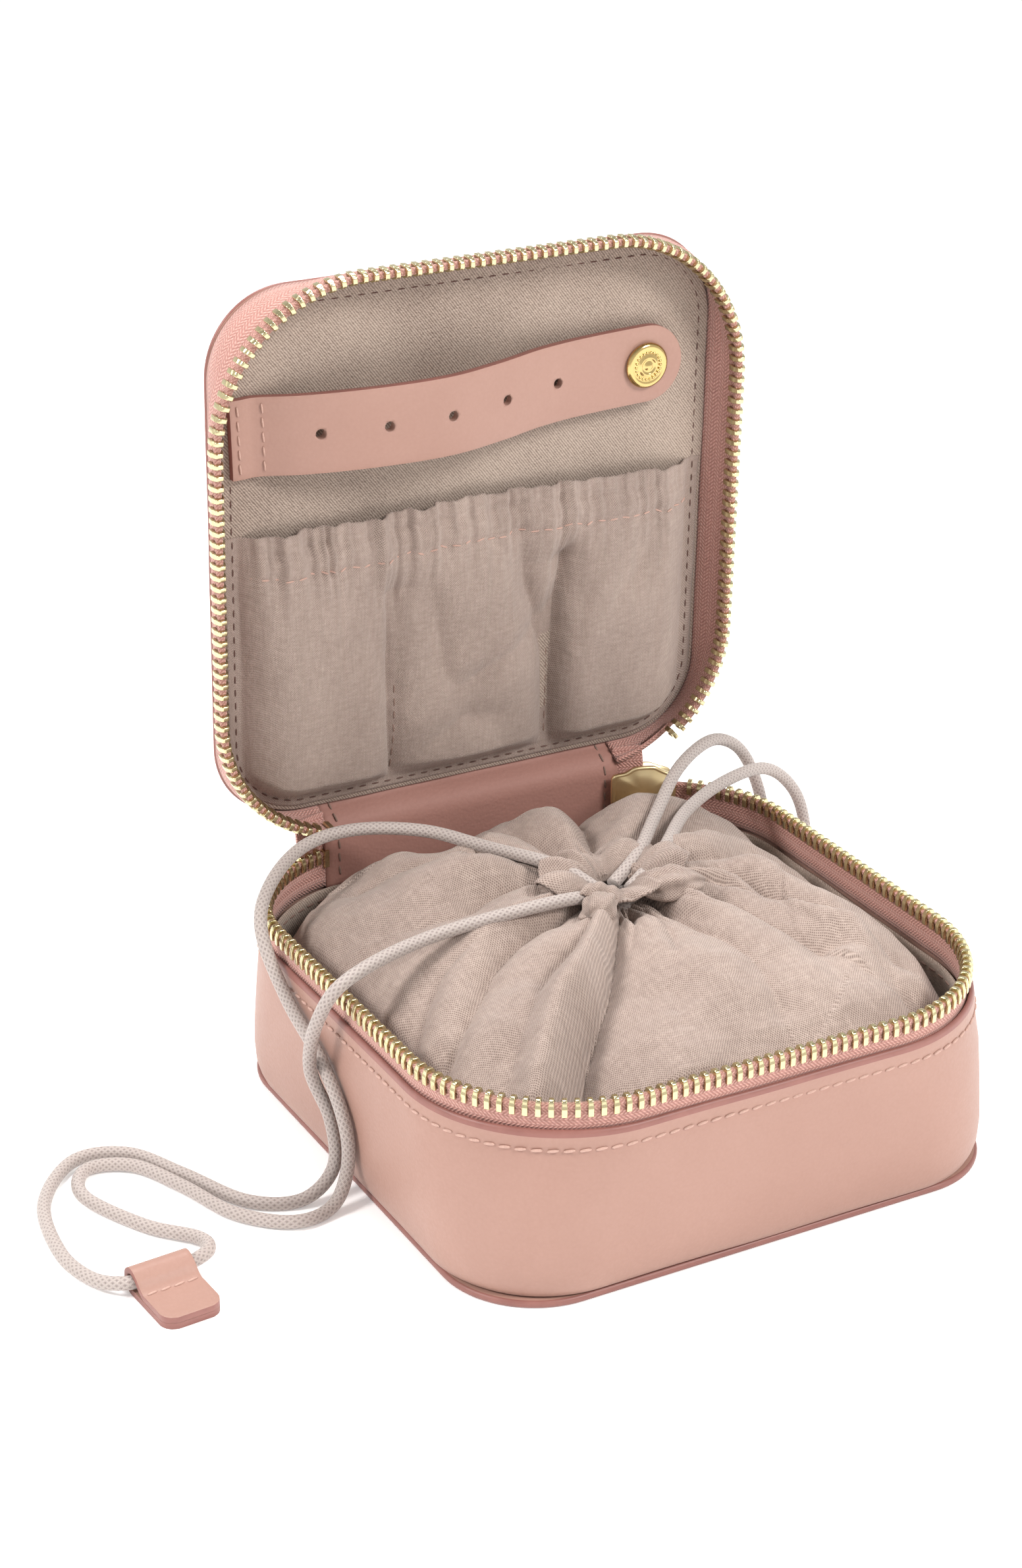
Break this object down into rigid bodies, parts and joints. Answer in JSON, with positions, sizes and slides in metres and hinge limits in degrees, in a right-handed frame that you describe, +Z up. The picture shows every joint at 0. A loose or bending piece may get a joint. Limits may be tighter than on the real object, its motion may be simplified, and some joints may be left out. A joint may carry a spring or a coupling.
{
  "type": "travel jewelry case",
  "caption": "Zip-round leather box with a flat lid on a leather spine, a snap strap and gathered pocket in the lid, and a drawstring pouch in the base.",
  "frame": {"origin": "centre of the underside of the bottom panel, on the surface the case stands on", "axes": "+Z up, the front of the case faces -Y, the spine and its fold are at +Y, +X to the right"},
  "size_m": [0.2303, 0.1695, 0.1723],
  "materials": {
    "leather": "fine-grained blush leather",
    "leather_dark": "painted dark rose edge",
    "lining": "taupe suede twill",
    "pouch_cloth": "slubby linen weave",
    "cord": "round braid",
    "zip_tape": "herringbone tape",
    "elastic": "woven elastic",
    "board": "stiffener board",
    "padding": "thin padding",
    "brass_trim": "pale gold plate"
  },
  "bodies": {
    "base": {"bottom_panel": "leather_dark", "base_board": "board", "base_wall_leather": "leather", "base_wall_board": "board", "base_lining_wall": "lining", "base_floor_pad": "padding", "base_lining_floor": "lining", "base_zip_tape": "zip_tape", "base_zip_teeth": "brass_trim", "base_zip_stops": "brass_trim", "spine_inner_base": "leather", "spine_outer_base": "leather", "spine_core": "leather_dark", "zip_slider": "brass_trim"},
    "pull": {"pull_link": "brass_trim", "pull_tab": "leather", "pull_rivet": "brass_trim"},
    "lid": {"lid_panel": "leather", "lid_board": "board", "lid_pad": "padding", "lid_lining": "lining", "lid_zip_tape": "zip_tape", "lid_zip_teeth": "brass_trim", "lid_zip_stops": "brass_trim", "spine_inner_lid": "leather", "spine_outer_lid": "leather", "pocket_gathered": "pouch_cloth", "pocket_elastic": "elastic", "strap_anchor": "leather", "snap_stud": "brass_trim", "snap_stud_washer": "brass_trim"},
    "strap": {"strap": "leather", "snap_cap": "brass_trim", "snap_socket": "brass_trim"},
    "pouch": {"pouch_bottom": "pouch_cloth", "pouch_wall": "pouch_cloth", "pouch_top": "pouch_cloth", "pouch_collar": "pouch_cloth", "neck_cord": "cord", "left_cord": "cord", "left_cord_tab": "leather", "right_cord": "cord", "right_cord_tab": "leather"}
  },
  "joints": [
    {"name": "lid_hinge", "type": "hinge", "parent": "base", "child": "lid", "pos_m": [0, 0.061, 0.0485], "axis": [-1, 0, 0], "range_deg": [-88, 37], "deforming": ["pouch_bottom", "pouch_wall", "pouch_top", "pouch_collar", "neck_cord", "left_cord", "left_cord_tab", "right_cord", "right_cord_tab"]},
    {"name": "strap_swing", "type": "hinge", "parent": "lid", "child": "strap", "pos_m": [-0.0505, 0.06035, 0.13874], "axis": [0.0349, 0.0349, -0.9988], "range_deg": [0, 22]},
    {"name": "pull_swing", "type": "hinge", "parent": "base", "child": "pull", "pos_m": [0.04359, 0.06382, 0.0399], "axis": [0.9511, -0.309, 0], "range_deg": [0, 90]},
    {"name": "pouch_lift", "type": "slide", "parent": "base", "child": "pouch", "axis": [0, 0, 1], "range_m": [0, 0.06]}
  ]
}
